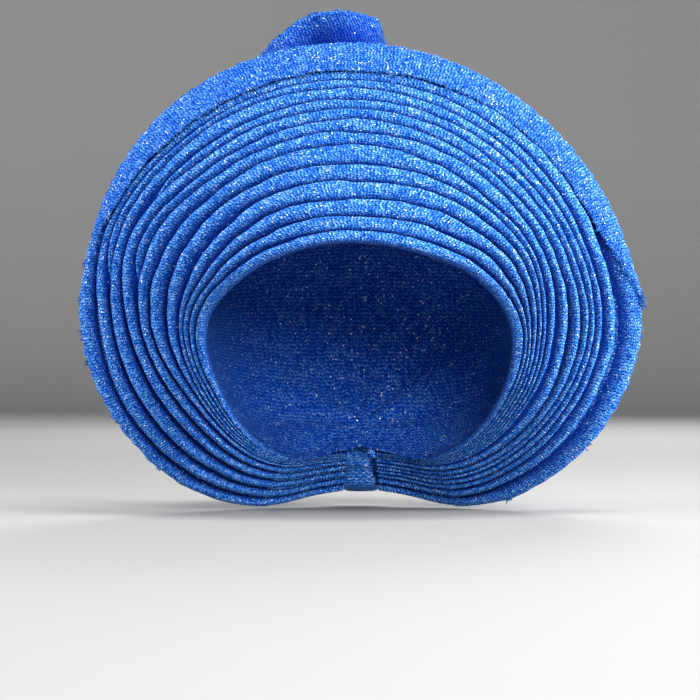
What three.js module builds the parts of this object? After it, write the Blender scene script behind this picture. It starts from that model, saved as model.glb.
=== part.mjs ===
// Tied gele head tie: a stiff blue cloth in thirteen pleats that fan out round the face opening,
// with a bonnet over the crown, a cuff turned over the rim, a knot at the nape and a loose end.
// Millimetres. +Z is up and the face looks towards -Y. The origin is the top of the head, inside.
import * as THREE from 'three';
import { LoftGeometry } from 'three/addons/geometries/LoftGeometry.js';

// The head that the cloth is wound round, as half sizes from its centre.
const HEAD = { side: 77, front: 84, back: 92, up: 70, down: 82, squareness: 2.4 };
const CENTRE_Y = 8;
const CENTRE_Z = -70;

// The cloth and the room that is left between pieces.
const WALL = 1.6;
const CUFF_WALL = 1.4;
const PLEAT_THICKEST = 2.6;
const PLEAT_THICKNESS_OF_WIDTH = 0.55;
const GAP = 0.4;

// The fan: how far it reaches round the face, its steps, and the depth of its stack of pleats.
const FAN_END = 153;
const STEP = 8.5;
const LEAN_AT_HEM = 0.6;
const STACK_DEPTH = 8.3;
const RIM_DEPTH = 4.8;
const HEM_ROLL = 2.2;
const HEM_RETURN = 4.5;
const HEM_WALL = 1.4;
const TUCK = 0.6;
const TUCK_SLACK = 0.6;

// The cuff over the rim: where it starts and ends, and how far it takes to open out.
const CUFF = { from: -76.5, to: 85, openLeft: 14, openRight: 26, lap: 1.2, behind: 9, lift: 1.3, clear: 2.3 };

// The bonnet: how far its edge sits behind the pleats, and its gathers round the knot.
const CROWN = { setBack: 7.3, napeSetBack: 0.6, columns: 36, rows: 9, gathers: 9, gatherDepth: 1.5 };
const KNOT = { y: 95, z: -143, halfWidth: 17, halfHeight: 16, halfDepth: 13, clear: 1 };
const GATHER_END = 172;

// The fan round the face, a row for each place. Angle is from the top, right is positive.
// hemR and rimR are distances from the head's front to back axis, hemY and rimY are depths.
const PLACES = [
  { place: 'nape', angle: -180, hemR: 66, hemY: 76, rimR: 86, rimY: 86 },
  { place: 'nape left', angle: -165, hemR: 71, hemY: 68, rimR: 94, rimY: 80 },
  { place: 'ear left', angle: -150, hemR: 79, hemY: 46, rimR: 110, rimY: 66 },
  { place: 'jaw left', angle: -115, hemR: 78, hemY: -4, rimR: 130, rimY: 20 },
  { place: 'cheek left', angle: -90, hemR: 75, hemY: -27, rimR: 137.5, rimY: 0 },
  { place: 'temple left', angle: -72, hemR: 62, hemY: -52, rimR: 136, rimY: -16 },
  { place: 'brow left', angle: -45, hemR: 46, hemY: -67, rimR: 136, rimY: -30 },
  { place: 'forehead', angle: 0, hemR: 36.5, hemY: -70.5, rimR: 130, rimY: -38 },
  { place: 'brow right', angle: 45, hemR: 43.5, hemY: -67, rimR: 128, rimY: -30 },
  { place: 'temple right', angle: 70, hemR: 58.5, hemY: -53, rimR: 131, rimY: -17 },
  { place: 'cheek right', angle: 92, hemR: 72.5, hemY: -25, rimR: 136.5, rimY: 2 },
  { place: 'jaw right', angle: 115, hemR: 78, hemY: -4, rimR: 130, rimY: 20 },
  { place: 'ear right', angle: 150, hemR: 79, hemY: 46, rimR: 110, rimY: 66 },
  { place: 'nape right', angle: 165, hemR: 71, hemY: 68, rimR: 94, rimY: 80 },
  { place: 'nape', angle: 180, hemR: 66, hemY: 76, rimR: 86, rimY: 86 },
];

// The pleats from the forehead out, with the share of the fan that each one shows at the places
// from the left ear to the right ear, and the angles where its ends are tucked away.
const PLEATS = [
  { name: 'fold_01', show: [1, 4, 8.8, 9.5, 9.3, 10, 10.5, 9.4, 8.5, 4, 1], from: -130, to: 130 },
  { name: 'fold_02', show: [1, 4, 6.5, 11.1, 16.4, 13.6, 15.5, 13.3, 4.8, 4, 1], from: -130, to: 130 },
  { name: 'fold_03', show: [1, 4, 6, 10.1, 16.1, 17.1, 17.5, 12.7, 4.5, 3.8, 1], from: -130, to: 128 },
  { name: 'fold_04', show: [1, 4, 5, 12.3, 17.2, 17.9, 14.5, 10, 5.5, 3.8, 1], from: -130, to: 128 },
  { name: 'fold_05', show: [2, 4.5, 12.7, 19, 17, 16.4, 11.5, 7.3, 4.8, 3.8, 1], from: -136, to: 128 },
  { name: 'fold_06', show: [3, 7.5, 17.3, 16.5, 15.5, 20, 8.3, 5.3, 4.6, 3.8, 1], from: -146, to: 128 },
  { name: 'fold_07', show: [6, 12.3, 9.6, 16.5, 13.2, 12.7, 14.2, 9.4, 9.2, 4, 1], from: -153, to: 132 },
  { name: 'fold_08', show: [0, 0, 0.5, 8.5, 9.2, 13, 8.2, 10.6, 13.1, 15.5, 6], from: -84, to: 153 },
  { name: 'fold_09', show: [8, 13.5, 13.2, 12.5, 12.4, 10.7, 10.5, 9.4, 13.2, 8, 5], from: -153, to: 153 },
  { name: 'fold_10', show: [0, 0, 0, 1.4, 7.6, 9.3, 9.4, 6.6, 7.7, 5, 4.5], from: -63, to: 153 },
  { name: 'fold_11', show: [9, 17.8, 15, 8.9, 14.6, 11.4, 8.5, 8.7, 6, 8, 5], from: -153, to: 153 },
  { name: 'fold_12', show: [0, 0, 0.5, 7.6, 5, 8.6, 9.8, 6.7, 8, 8, 5.5], from: -84, to: 153 },
  { name: 'fold_13', show: [10, 16.9, 13.5, 7.5, 8.8, 9.3, 14.3, 14.6, 14.5, 14.5, 9], from: -153, to: 153 },
  { name: 'rim_fold', show: [10, 15, 17.8, 10, 23.7, 26.2, 21, 22.7, 25.8, 23.5, 11], from: -153, to: 153 },
];
const EAR_TO_EAR = PLACES.filter((row) => Math.abs(row.angle) <= 150).map((row) => row.angle);

// The loose end, a row for each place up its length: its middle, its half width, its side to side bow
// and where across it the bow is deepest.
const TAIL = [
  { place: 'out of the knot', x: 0, y: 93, z: -125, half: 12, bow: 3, deepest: 0 },
  { place: 'below the bulge', x: 0, y: 102, z: -100, half: 17, bow: 4, deepest: 0 },
  { place: 'back of the head', x: -1, y: 106, z: -70, half: 21, bow: 5, deepest: 0 },
  { place: 'above the bulge', x: -3, y: 99, z: -38, half: 24, bow: 7, deepest: 0 },
  { place: 'crown, back', x: -6, y: 77, z: -10, half: 26, bow: 8, deepest: 0 },
  { place: 'crown, top', x: -9, y: 40, z: 8, half: 28, bow: 8, deepest: 0 },
  { place: 'turning up', x: -13, y: 5, z: 16, half: 29, bow: 6, deepest: 0.1 },
  { place: 'behind the fan', x: -17, y: -12, z: 34, half: 30, bow: 6, deepest: 0.25 },
  { place: 'at the rim', x: -19, y: -14, z: 50, half: 31, bow: 6, deepest: 0.3 },
];
const TAIL_TOP = { left: 57, peak: 78, right: 60, peakAt: 0.35, lean: 6 };
const TAIL_COLUMNS = 8;
const TAIL_ROWS = 14;
const TAIL_WALL = 1.4;

const CLOTH = new THREE.MeshStandardMaterial({ color: 0x2f6fd8, roughness: 0.75 });
const gele = new THREE.Group();

// A smooth line through rows of a table, read at any value of its first column.
function smooth(at, rows) {
  const flat = rows.flat();
  const line = new THREE.CubicInterpolant(at, flat, rows[0].length, new Float64Array(rows[0].length));
  return (value) => Array.from(line.evaluate(value));
}

// A point of the radial plane at an angle round the face.
function place(angle, r, y) {
  const a = THREE.MathUtils.degToRad(angle);
  return new THREE.Vector3(r * Math.sin(a), y, CENTRE_Z + r * Math.cos(a));
}

// A closed solid from closed sections, turned so that its faces point out.
// Its ends are capped, or each end's section has shrunk to a point.
function addSolid(name, sections, capped = true) {
  const loft = (rows) => new LoftGeometry(rows, { capStart: capped, capEnd: capped });
  const corner = [0, 1, 2].map(() => new THREE.Vector3());
  let geometry = loft(sections);
  const kept = [];
  let volume = 0;
  for (let i = 0; i < geometry.index.count; i += 3) {
    const ends = [0, 1, 2].map((k) => geometry.index.getX(i + k));
    corner.forEach((c, k) => c.fromBufferAttribute(geometry.getAttribute('position'), ends[k]));
    const side = (k) => corner[k].distanceTo(corner[(k + 1) % 3]);
    if (Math.min(side(0), side(1), side(2)) < 1e-6) continue;
    volume += corner[0].dot(corner[1].clone().cross(corner[2])) / 6;
    kept.push(...ends);
  }
  if (volume < 0 && capped) geometry = loft(sections.map((row) => row.slice().reverse()));
  if (!capped) geometry.setIndex(volume < 0 ? kept.reverse() : kept);
  const mesh = new THREE.Mesh(geometry, CLOTH);
  mesh.name = name;
  gele.add(mesh);
}

// The fan's measures at an angle: hem, rim, the creases between pleats and the pleats' thickness.
const edgeAt = smooth(PLACES.map((row) => row.angle), PLACES.map((row) => [row.hemR, row.hemY, row.rimR, row.rimY]));
const showAt = smooth(EAR_TO_EAR, EAR_TO_EAR.map((angle, k) => PLEATS.map((pleat) => pleat.show[k])));

function fanAt(angle) {
  const [hemR, hemY, rimR, rimY] = edgeAt(angle);
  const inside = THREE.MathUtils.clamp(angle, -150, 150);
  const show = showAt(inside).map((value) => Math.max(value, 0));
  const total = show.reduce((sum, value) => sum + value, 0);
  const width = show.map((value) => value * (rimR - hemR) / total);
  const crease = [hemR];
  width.forEach((value) => crease.push(crease[crease.length - 1] + value));
  const thick = width.map((value) => Math.min(PLEAT_THICKEST, PLEAT_THICKNESS_OF_WIDTH * value));
  const ledge = [];
  thick.forEach((value, i) => ledge.push(i ? Math.max(value, ledge[i - 1] - width[i]) : value));
  const drop = ledge.map((value, i) => (i ? ledge[i - 1] + GAP : HEM_ROLL));
  return { angle, hemR, hemY, rimR, rimY, width, crease, thick, drop };
}

// A point of the fan: r from the axis along its front, h in front of it.
function onFan(fan, r, h) {
  const reach = fan.rimR - fan.hemR;
  const rise = fan.rimY - fan.hemY;
  const s = (r - fan.hemR) / reach;
  const y = fan.hemY + rise * (LEAN_AT_HEM * s + (1 - LEAN_AT_HEM) * s * s);
  const slope = rise / reach * (LEAN_AT_HEM + 2 * (1 - LEAN_AT_HEM) * s);
  const n = Math.hypot(1, slope);
  return place(fan.angle, r + h * slope / n, y - h / n);
}

// Angles from one end to the other, on whole steps between them.
function anglesBetween(from, to) {
  const list = [from];
  const first = Math.ceil((from + FAN_END) / STEP + 0.3);
  for (let k = first; k * STEP - FAN_END < to - 0.3 * STEP; k += 1) list.push(k * STEP - FAN_END);
  list.push(to);
  return list;
}

// A line of (r, h) points made into a wall: one side there, the other side back.
function wallSection(line, thickness) {
  const side = (sign) => line.map((p, i) => {
    const a = line[Math.max(i - 1, 0)];
    const b = line[Math.min(i + 1, line.length - 1)];
    const n = Math.hypot(b[0] - a[0], b[1] - a[1]);
    return [p[0] - sign * thickness / 2 * (b[1] - a[1]) / n, p[1] + sign * thickness / 2 * (b[0] - a[0]) / n];
  });
  return [...side(1), ...side(-1).reverse()];
}

// A pleat: a doubled cloth that comes out from under the pleat before it and rolls over at its outer edge.
const ROUND_FRONT = [0.3, 0.75];
const ROUND_BACK = 0.45;
function pleatSection(fan, i) {
  const inner = fan.crease[i];
  const width = fan.width[i] - (i === PLEATS.length - 1 ? 1.2 : 0);
  const { [i]: thick } = fan.thick;
  const { [i]: drop } = fan.drop;
  const roll = (x) => drop * (Math.sqrt(1 - (1 - x) ** 2) - 1);
  const hem = Math.min(HEM_WALL, 0.45 * fan.width[0]);
  const room = i === 1 ? fan.width[0] - hem - 0.5 : TUCK * fan.width[Math.max(i - 1, 0)];
  const under = i ? Math.max(Math.min(room, TUCK * fan.width[i - 1]), 0.6) : 0;
  const sink = i ? 0.2 * fan.drop[i - 1] + TUCK_SLACK : HEM_RETURN;
  const front = [[inner - under, -drop - sink], [inner + (i ? 0 : 0.1), -drop]];
  ROUND_FRONT.forEach((x) => front.push([inner + x * width, roll(x)]));
  front.push([inner + width - 0.3, -0.35 * thick]);
  const back = [[inner + width - 0.3, -0.7 * thick]];
  back.push([inner + ROUND_BACK * width, roll(ROUND_BACK) - thick]);
  const set = i ? 0 : hem;
  back.push([inner + set, -drop - (i ? thick : 1.2)], [inner - under + set, -drop - sink - (i ? thick : 0)]);
  return [...front, ...back].map(([r, h]) => onFan(fan, r, h));
}

PLEATS.forEach((pleat, i) => {
  const angles = anglesBetween(pleat.from, pleat.to);
  addSolid(pleat.name, angles.map((angle) => pleatSection(fanAt(angle), i)));
});

// The head's surface in a radial plane: distance from the centre at a tilt, back is positive.
function headReach(angle, tilt) {
  const a = THREE.MathUtils.degToRad(angle);
  const t = THREE.MathUtils.degToRad(tilt);
  const high = Math.cos(a) > 0 ? HEAD.up : HEAD.down;
  const deep = t > 0 ? HEAD.back : HEAD.front;
  const parts = [Math.sin(a) * Math.cos(t) / HEAD.side, Math.sin(t) / deep, Math.cos(a) * Math.cos(t) / high];
  const sum = parts.reduce((total, value) => total + Math.abs(value) ** HEAD.squareness, 0);
  return sum ** (-1 / HEAD.squareness);
}

// The bonnet's surface: the head, with gathers that run out from the knot.
function crownReach(angle, tilt) {
  const t = THREE.MathUtils.degToRad(tilt);
  const reach = headReach(angle, tilt);
  const p = place(angle, reach * Math.cos(t), CENTRE_Y + reach * Math.sin(t));
  const turn = Math.atan2(p.x, p.z - KNOT.z - 20);
  const far = Math.hypot(p.x, p.z - KNOT.z);
  const fade = THREE.MathUtils.smoothstep(p.y, 20, 70) * THREE.MathUtils.smoothstep(far, 10, 40);
  return reach + fade * CROWN.gatherDepth * Math.cos(turn * CROWN.gathers);
}

function onCrown(angle, tilt, out) {
  const t = THREE.MathUtils.degToRad(tilt);
  const reach = crownReach(angle, tilt) + out;
  return place(angle, reach * Math.cos(t), CENTRE_Y + reach * Math.sin(t));
}

// Moves a point out from the bonnet where it would lie inside it.
function clearOfCrown(p, room) {
  const out = Math.hypot(p.x, p.z - CENTRE_Z);
  const angle = Math.atan2(p.x, p.z - CENTRE_Z) * THREE.MathUtils.RAD2DEG;
  const tilt = Math.atan2(p.y - CENTRE_Y, out) * THREE.MathUtils.RAD2DEG;
  const least = crownReach(angle, tilt) + WALL + room;
  const away = p.clone().sub(new THREE.Vector3(0, CENTRE_Y, CENTRE_Z));
  if (away.length() < least) p.copy(away.setLength(least)).add(new THREE.Vector3(0, CENTRE_Y, CENTRE_Z));
  return p;
}

// How far a point of a radial plane lies behind the fan's front.
function depthBehind(fan, r, y) {
  const reach = fan.rimR - fan.hemR;
  const rise = fan.rimY - fan.hemY;
  const s = (r - fan.hemR) / reach;
  const slope = rise / reach * (LEAN_AT_HEM + 2 * (1 - LEAN_AT_HEM) * s);
  return (y - fan.hemY - rise * (LEAN_AT_HEM * s + (1 - LEAN_AT_HEM) * s * s)) / Math.hypot(1, slope);
}

// The tilt at which the bonnet's edge is far enough behind the pleats.
function crownEdge(angle) {
  const fan = fanAt(angle);
  const nape = THREE.MathUtils.smoothstep(Math.abs(angle), 148, 162);
  const back = THREE.MathUtils.lerp(CROWN.setBack, CROWN.napeSetBack, nape);
  let tilt = Math.atan2(fan.hemY - CENTRE_Y, fan.hemR) * THREE.MathUtils.RAD2DEG;
  for (; tilt < 80; tilt += 0.5) {
    const t = THREE.MathUtils.degToRad(tilt);
    const reach = crownReach(angle, tilt) + WALL;
    if (depthBehind(fan, reach * Math.cos(t), CENTRE_Y + reach * Math.sin(t)) > back) break;
  }
  return tilt;
}

const roundAngles = Array.from({ length: CROWN.columns }, (_, k) => -180 + k * 360 / CROWN.columns);
const edgeTilt = roundAngles.map(crownEdge);
function crownRing(share, out) {
  return roundAngles.map((angle, k) => onCrown(angle, THREE.MathUtils.lerp(edgeTilt[k], 90, share), out));
}
const shares = Array.from({ length: CROWN.rows }, (_, k) => k / (CROWN.rows - 1));
addSolid('crown_wrap', [
  ...shares.slice().reverse().map((share) => crownRing(share, 0)),
  ...shares.map((share) => crownRing(share, WALL)),
], false);

// The plain cloth behind the pleats, from the bonnet to the rim.
function fanBackSection(fan) {
  const deep = -STACK_DEPTH;
  let r = fan.rimR - 12;
  for (; r > fan.hemR - 12; r -= 0.25) {
    const p = onFan(fan, r, deep);
    const out = Math.hypot(p.x, p.z - CENTRE_Z);
    const tilt = Math.atan2(p.y - CENTRE_Y, out);
    const clear = Math.hypot(out, p.y - CENTRE_Y) - crownReach(fan.angle, tilt * THREE.MathUtils.RAD2DEG) - WALL;
    if (clear < WALL / 2 + 0.5) break;
  }
  const line = [0, 0.35, 0.7, 1].map((x) => [THREE.MathUtils.lerp(r, fan.crease[13] + 1, x), deep]);
  line.push([fan.rimR - 1.4, -RIM_DEPTH]);
  return wallSection(line, WALL).map(([a, h]) => onFan(fan, a, h));
}
addSolid('fan_back', anglesBetween(-FAN_END, FAN_END).map((angle) => fanBackSection(fanAt(angle))));

// The cuff: from its raw edge in front, over the rim, to a short return behind.
function cuffSection(fan) {
  const left = THREE.MathUtils.smoothstep(fan.angle, CUFF.from - 3, CUFF.from + CUFF.openLeft);
  const right = 1 - THREE.MathUtils.smoothstep(fan.angle, CUFF.to - CUFF.openRight, CUFF.to + 3);
  const tip = fan.rimR;
  const edge = THREE.MathUtils.lerp(tip - 4.5, Math.min(fan.crease[13] - CUFF.lap, tip - 4.5), Math.min(left, right));
  const low = [fan.crease[13] + 1, -STACK_DEPTH];
  const high = [tip - 1.4, -RIM_DEPTH];
  const run = Math.hypot(high[0] - low[0], high[1] - low[1]);
  const away = [(high[1] - low[1]) / run * CUFF.clear, -(high[0] - low[0]) / run * CUFF.clear];
  const line = [
    [edge, CUFF.lift],
    [THREE.MathUtils.lerp(edge, tip - 1.8, 0.5), CUFF.lift],
    [tip - 1.8, CUFF.lift],
    [tip + 0.1, -0.4],
    [tip + 0.5, -3],
    [Math.min(high[0] + away[0], tip), high[1] + away[1]],
    [low[0] + away[0], low[1] + away[1]],
    [low[0] - CUFF.behind, -STACK_DEPTH - CUFF.clear],
  ];
  return wallSection(line, CUFF_WALL).map(([r, h]) => onFan(fan, r, h));
}
addSolid('rim_cuff', anglesBetween(CUFF.from, CUFF.to).map((angle) => cuffSection(fanAt(angle))));

// The knot's girth at a level, and a point moved out to its side where it would lie inside it.
function knotGirth(level) {
  return Math.sqrt(Math.max(1 - level ** 4, 0)) * (0.93 + 0.07 * Math.cos(level * 3 * Math.PI));
}
function clearOfKnot(p) {
  const level = (p.z - KNOT.z) / KNOT.halfHeight;
  const girth = Math.abs(level) < 1.1 ? Math.max(knotGirth(level), 0.3) : 0;
  const deep = (p.y - KNOT.y) / (KNOT.halfDepth * girth + KNOT.clear);
  const least = Math.abs(deep) < 1 ? (KNOT.halfWidth * girth + KNOT.clear) * Math.sqrt(1 - deep * deep) : 0;
  if (Math.abs(p.x) < least) p.x = Math.sign(p.x) * least;
  return p;
}

// The pleats' ends, gathered from the fan to the knot.
function gatherSection(fan) {
  const ring = [];
  const middle = (fan.hemR + fan.rimR) / 2;
  const half = (fan.rimR - fan.hemR) / 2 - 0.4;
  for (let k = 0; k < 14; k += 1) {
    const turn = k / 14 * 2 * Math.PI;
    const square = (value) => Math.sign(value) * Math.abs(value) ** 0.6;
    const p = onFan(fan, middle + half * square(Math.cos(turn)), -STACK_DEPTH / 2 + 4.6 * square(Math.sin(turn)));
    ring.push(clearOfKnot(clearOfCrown(p, 0.8)));
  }
  return ring;
}
for (const [name, side] of [['nape_gather_left', -1], ['nape_gather_right', 1]]) {
  const angles = [0, 0.25, 0.5, 0.75, 1].map((x) => side * THREE.MathUtils.lerp(FAN_END + 0.4, GATHER_END, x));
  addSolid(name, angles.map((angle) => gatherSection(fanAt(angle))));
}

// The knot: a wound roll of cloth with soft ridges.
const knotRows = Array.from({ length: 9 }, (_, k) => -0.94 + k * 0.235);
addSolid('knot', knotRows.map((level) => {
  const girth = knotGirth(level);
  return Array.from({ length: 16 }, (_, k) => {
    const turn = k / 16 * 2 * Math.PI;
    const x = KNOT.halfWidth * girth * Math.cos(turn);
    return new THREE.Vector3(x, KNOT.y + KNOT.halfDepth * girth * Math.sin(turn), KNOT.z + KNOT.halfHeight * level);
  });
}));

// The loose end: from the knot over the crown, then up behind the fan, with a slanting top edge.
const tailAt = smooth(
  TAIL.map((row, k) => k),
  TAIL.map((row) => [row.x, row.y, row.z, row.half, row.bow, row.deepest]),
);
function tailTop(u) {
  const low = u < TAIL_TOP.peakAt ? TAIL_TOP.left : TAIL_TOP.right;
  const run = u < TAIL_TOP.peakAt ? 1 + TAIL_TOP.peakAt : 1 - TAIL_TOP.peakAt;
  const fall = Math.abs((u - TAIL_TOP.peakAt) / run) ** 2;
  return { height: TAIL_TOP.peak - (TAIL_TOP.peak - low) * fall, lean: TAIL_TOP.lean * (1 - fall) };
}
function tailPoint(u, row) {
  const last = TAIL.length - 1;
  const [x, y, z, half, bow, deepest] = tailAt(Math.min(row, last));
  const above = Math.max(row - last, 0);
  const base = new THREE.Vector3(x + u * half, y, z);
  const ahead = tailAt(Math.min(row + 0.05, last));
  const behind = tailAt(Math.min(row, last) - 0.05);
  const out = new THREE.Vector3(0, ahead[2] - behind[2], behind[1] - ahead[1]).normalize();
  base.addScaledVector(out, -bow * (u - deepest) ** 2);
  const top = tailTop(u);
  if (above > 0) base.add(new THREE.Vector3(0, -above * top.lean, above * (top.height - z)));
  return clearOfCrown(base, TAIL_WALL / 2 + 1.2);
}
function tailSection(row) {
  const across = Array.from({ length: TAIL_COLUMNS + 1 }, (_, k) => -1 + 2 * k / TAIL_COLUMNS);
  const side = (sign) => across.map((u) => {
    const p = tailPoint(u, row);
    const du = tailPoint(u + 0.02, row).sub(tailPoint(u - 0.02, row));
    const dv = tailPoint(u, row + 0.02).sub(tailPoint(u, row - 0.02));
    return p.addScaledVector(du.cross(dv).normalize(), sign * TAIL_WALL / 2);
  });
  return [...side(1), ...side(-1).reverse()];
}
const tailRows = Array.from({ length: TAIL_ROWS + 1 }, (_, k) => 0.05 + k / TAIL_ROWS * (TAIL.length - 0.05));
addSolid('tail', tailRows.map(tailSection));

export default gele;
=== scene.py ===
# Tied gele head tie: its pleated cloth as meshes, a ribbed glittering weave, studio light and camera.
# Sizes are millimetres and become metres where a mesh is made. +Z is up, the face looks towards -Y.
import math
from collections import namedtuple
from types import SimpleNamespace as Named

import bpy
import numpy as np
from numpy.linalg import norm
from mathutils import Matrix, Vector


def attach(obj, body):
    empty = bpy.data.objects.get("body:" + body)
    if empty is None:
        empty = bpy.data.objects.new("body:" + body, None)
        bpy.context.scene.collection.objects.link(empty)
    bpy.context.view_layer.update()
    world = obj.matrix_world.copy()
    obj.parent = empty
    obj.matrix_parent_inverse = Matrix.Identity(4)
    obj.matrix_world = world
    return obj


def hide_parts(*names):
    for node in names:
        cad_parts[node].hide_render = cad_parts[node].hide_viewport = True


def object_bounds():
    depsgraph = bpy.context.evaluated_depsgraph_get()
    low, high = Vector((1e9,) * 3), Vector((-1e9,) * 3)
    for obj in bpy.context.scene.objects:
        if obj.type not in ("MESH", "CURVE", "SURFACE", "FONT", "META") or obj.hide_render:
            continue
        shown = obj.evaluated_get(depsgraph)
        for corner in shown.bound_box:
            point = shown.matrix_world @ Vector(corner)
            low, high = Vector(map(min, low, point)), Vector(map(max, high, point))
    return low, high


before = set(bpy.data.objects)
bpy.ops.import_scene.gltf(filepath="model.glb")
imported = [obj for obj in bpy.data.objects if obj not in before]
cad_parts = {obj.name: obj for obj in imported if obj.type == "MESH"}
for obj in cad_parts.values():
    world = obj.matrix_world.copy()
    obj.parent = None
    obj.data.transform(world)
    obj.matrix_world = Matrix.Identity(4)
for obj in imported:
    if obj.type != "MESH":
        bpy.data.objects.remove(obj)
cad_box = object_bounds()
MM = 0.001
TINY = 1e-6
BODY = "root"
scene = bpy.context.scene


def table(columns, *rows):
    """A table's rows, each with its columns by name."""
    row_of = namedtuple("Row", columns)
    return [row_of(*row) for row in rows]


# The head that the cloth is wound round, as half sizes from its centre.
HEAD = Named(side=77, front=84, back=92, up=70, down=82, squareness=2.4)
CENTRE = np.array([0.0, 8.0, -70.0])

# The cloth and the room between pieces.
WALL = 1.6
GAP = 0.4
ROW_LENGTH = 1.3

# The fan: how far it reaches round the face, its lean, and the depth of its stack of pleats.
FAN_END = 153
FAN_CLOSES = 136
LEAN_AT_HEM = 0.6
STACK_DEPTH = 8.3
DEEPEST_TUCK = 7.4
RIM_DEPTH = 4.8
RIM_REACH = 1.4

# The pleats go from flat bands at the top to thick cords at the sides, between two angles from the top.
# On the right an angle counts for less.
TOP_TO_SIDE = (15, 75)
RIGHT_FLATTER = 0.78
THICKEST = (3.0, 5.4)
THICKNESS_OF_WIDTH = (0.52, 0.74)
GROOVE = (0.1, 0.33)
ROLL = (2.9, 2.0)

# Every pleat's lip, ridge and tuck, as sizes and as shares of its width, thickness or drop.
PLEAT = Named(
    lip_of_thickness=0.5, lip_of_width=0.38, tuck=0.6, least_tuck=0.6, tuck_room=0.5, tuck_bend=0.4,
    slack=0.6, sink_of_drop=0.2, spare=0.5, ridge_room=8, crease_room=9, crease_share=0.6,
    radii=(60, 135),
)
# The first pleat's hem, and how a pleat that ends early comes out of its groove, painted darker there as
# shade.
HEM = Named(roll=2.2, back=4.5, wall=1.4, wall_of_width=0.45, inside=1.2)
END = Named(run=11, height=0.05, light=0.4)

# Places across a pleat: in its groove, up to its ridge, round its lip, and back underneath.
GROOVE_SHARES = (0.3, 0.85)
RISE_SHARES = (0.01, 0.04, 0.09, 0.16, 0.25, 0.36, 0.48, 0.6, 0.72, 0.83, 0.92, 1.0)
LIP_TURNS = np.radians([62, 36, 12, -12, -36, -62, -90])
UNDER_SHARES = (0.85, 0.6, 0.35, 0.12)

# How open to light the cloth is, from 0 at the bottom of a groove, painted into its colour as shade.
# Painted shade: the hem's inner edge, the bonnet's inside and the gathers' creases are darker, and the whole
# cuff a little darker.
PAINTED_LIGHT = Named(
    plain=0.5, groove=0.08, rise=0.62, quick=0.42, lip=0.85, lip_spread=0.15, hem=0.2,
    wrong_side=0.2, gathers=(0.14, 0.45), cuff=0.3, thread=0.6,
)

# The cloth behind the pleats: its steps across a pleat and their painted light, darker as shade in the
# creases, and how far it bulges.
BACK = Named(
    steps=(0.0, 0.3, 0.6, 0.9), light=(0.12, 0.4, 0.5, 0.6), bulge=1.3, bulge_power=1.5, full_width=6,
    flatter_at_rim=0.7, soft=0.4, from_rim=1.4, turns_up=1, radius=105, search_steps=400, past_edge=12,
    touch=0.05,
)

# The cuff over the rim: where it starts and ends, how it opens out, its edge and its loose threads.
# Pairs of sizes are closed and open, laps are on the left and on the right.
CUFF = Named(
    start=-76.5, end=87, open_left=14, open_right=26, opens_past=3, narrow_run=24, corner_at=(79, 86),
    corner=1.6, laps=(0.7, 0.1), right_at=(8, 40), dip=1.5, ragged=0.6, least_width=4.5, closed_width=2.0,
    lift=(-1.2, 0.9), right_lift=0.15, crown=0.8, over_rim=(-1.6, 0.4), shoulder=1.2, behind=(1.0, 9),
    nose=((0.2, -0.6), (0.5, -3.0)), closed_in=2.5, closed_deep=0.8, closed_drop=0.2, clear=2.3, wall=1.4,
    closed_wall=0.3, edge_wall=0.55, edge_columns=9, columns=36, radius=175,
)
CUFF_THREADS = Named(
    edge=150, lengths=(0.5, 1.5), forward=(0, -0.6, 0), corner=34, corner_lengths=(0.6, 1.5),
    corner_way=(0.8, -0.3, -0.6),
)

# The bonnet: how far its edge sits behind the pleats, its gathers round the knot, and its cut cloth.
CROWN = Named(
    set_back=(7.3, 0.6), nape=(148, 162), gathers=9, depth=1.5, above_knot=20, fade_back=(20, 70),
    fade_far=(10, 40), columns=260, rows=80, closed=0.995, tilt_reach=130, tilt_steps=521, steepest=80,
    flat=(0.28, 0.34), area=0.062, weave_at=(40000, 500),
)
FINE = Named(
    amount=2.4, deepest=1.35, from_edge=(0.08, 0.24), waves=((0.105, 0.012, 0), (0.19, 0, 1.3)),
    narrow_share=0.5, full=1.5, fade_back=(10, 60), fade_near=(12, 45),
    fade_far=(60, 150), far_share=0.6,
)

# The knot, and the pleats' ends that are gathered towards it.
KNOT = Named(
    y=95, z=-143, half_width=17, half_height=16, half_depth=13, clear=0.2, tallest=1.1, least_girth=0.3,
    rolls=3, roll_depth=0.07, top=0.94, rows=70, columns=110, wound=0.05, wound_in=0.03, crease=0.012,
    wound_waves=(4.2, 0.9, 0.6), crease_waves=(17, 5, 1.0),
)
GATHER = Named(end=174, lap=2.5, sink=0.35, groove=1.2, lean=1.4, rows=60, near=1.2, beside=0.2)
CROWN_ROOM = 0.12
# Across one pleat of the gathers: place, height out of the groove, and painted light, dark as shade in the
# groove.
GATHER_STEPS = table(
    "place height light",
    (0.02, 0, 0.0), (0.2, 0, 0.0), (0.26, 0.35, 0.15), (0.36, 0.65, 0.3),
    (0.5, 0.88, 0.5), (0.66, 1, 0.65), (0.84, 0.9, 0.8), (0.96, 0.6, 0.9),
)

# The fan round the face, a row for each place: angle from the top, then the hem's and the rim's
# distance from the head's front to back axis and depth. Behind the cheeks both sides are the same.
BEHIND_CHEEK = [
    (180, 66, 76, 86, 86),  # nape
    (165, 71, 68, 94, 80),  # beside the nape
    (150, 79, 46, 110, 66),  # ear
    (115, 78, -4, 130, 20),  # jaw
]
PLACES = table(
    "angle hem_r hem_y rim_r rim_y",
    *[(-angle, *sizes) for angle, *sizes in BEHIND_CHEEK],
    (-90, 75, -27, 137.5, 0),  # cheek left
    (-72, 62, -52, 136, -16),  # temple left
    (-45, 46, -67, 136, -30),  # brow left
    (0, 36.5, -70.5, 130, -38),  # forehead
    (45, 43.5, -67, 128, -30),  # brow right
    (70, 58.5, -53, 131, -17),  # temple right
    (92, 72.5, -25, 136.5, 2),  # cheek right
    *BEHIND_CHEEK[::-1],
)

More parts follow.
